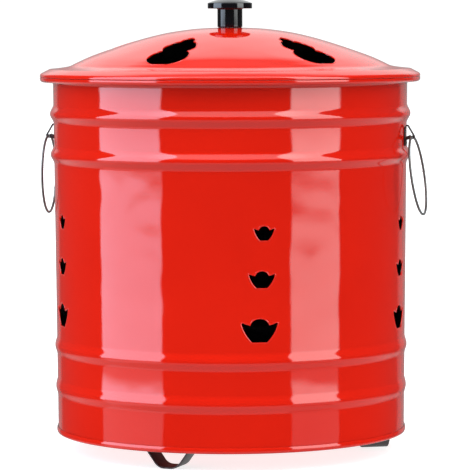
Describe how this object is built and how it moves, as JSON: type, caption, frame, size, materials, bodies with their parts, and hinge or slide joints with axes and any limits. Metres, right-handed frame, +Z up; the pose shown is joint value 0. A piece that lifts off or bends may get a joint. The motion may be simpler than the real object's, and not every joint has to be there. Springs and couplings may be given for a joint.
{
  "type": "vented compost bin",
  "caption": "Round enamelled steel garden bin on strap feet, with a tapered beaded drum, lotus-shaped air vents, a lift-off vented lid with a knob, and loose ring handles.",
  "frame": {"origin": "on the ground under the middle of the drum", "axes": "+Z up along the drum's axis, -Y towards the front, +X to the right seen from the front"},
  "size_m": [0.4415, 0.4336, 0.5144],
  "materials": {
    "enamel": "gloss red vitreous enamel",
    "wire": "drawn steel wire, lightly tarnished",
    "strap": "dark oiled strap steel",
    "rivet": "dull steel",
    "knob": "gloss black moulded plastic",
    "brass": "turned brass",
    "seal": "dark fibre washer",
    "screw": "zinc-plated steel"
  },
  "bodies": {
    "drum": {"drum_shell": "enamel", "drum_rim_wire": "wire", "base_pan": "enamel", "ear_left": "strap", "ear_right": "strap", "ear_rivets_left": "rivet", "ear_rivets_right": "rivet", "foot_front": "strap", "foot_right": "strap", "foot_rear": "strap", "foot_rivets_front": "rivet", "foot_rivets_right": "rivet", "foot_rivets_rear": "rivet"},
    "lid": {"lid_shell": "enamel", "lid_rim_wire": "wire", "lid_collar": "enamel", "knob": "knob", "knob_insert": "brass", "knob_seal": "seal", "knob_washer": "screw", "knob_screw": "screw"},
    "ring_left": {"ring_handle_left": "wire"},
    "ring_right": {"ring_handle_right": "wire"}
  },
  "joints": [
    {"name": "lid_lift", "type": "slide", "parent": "drum", "child": "lid", "axis": [0, 0, 1], "range_m": [0, 0.25]},
    {"name": "left_ring_swing", "type": "hinge", "parent": "drum", "child": "ring_left", "pos_m": [-0.20891, 0.02565, 0.359], "axis": [0.1219, 0.9925, 0], "range_deg": [-4.5, 165]},
    {"name": "right_ring_swing", "type": "hinge", "parent": "drum", "child": "ring_right", "pos_m": [0.20509, -0.04735, 0.359], "axis": [-0.225, -0.9744, 0], "range_deg": [-13, 156.5]}
  ]
}
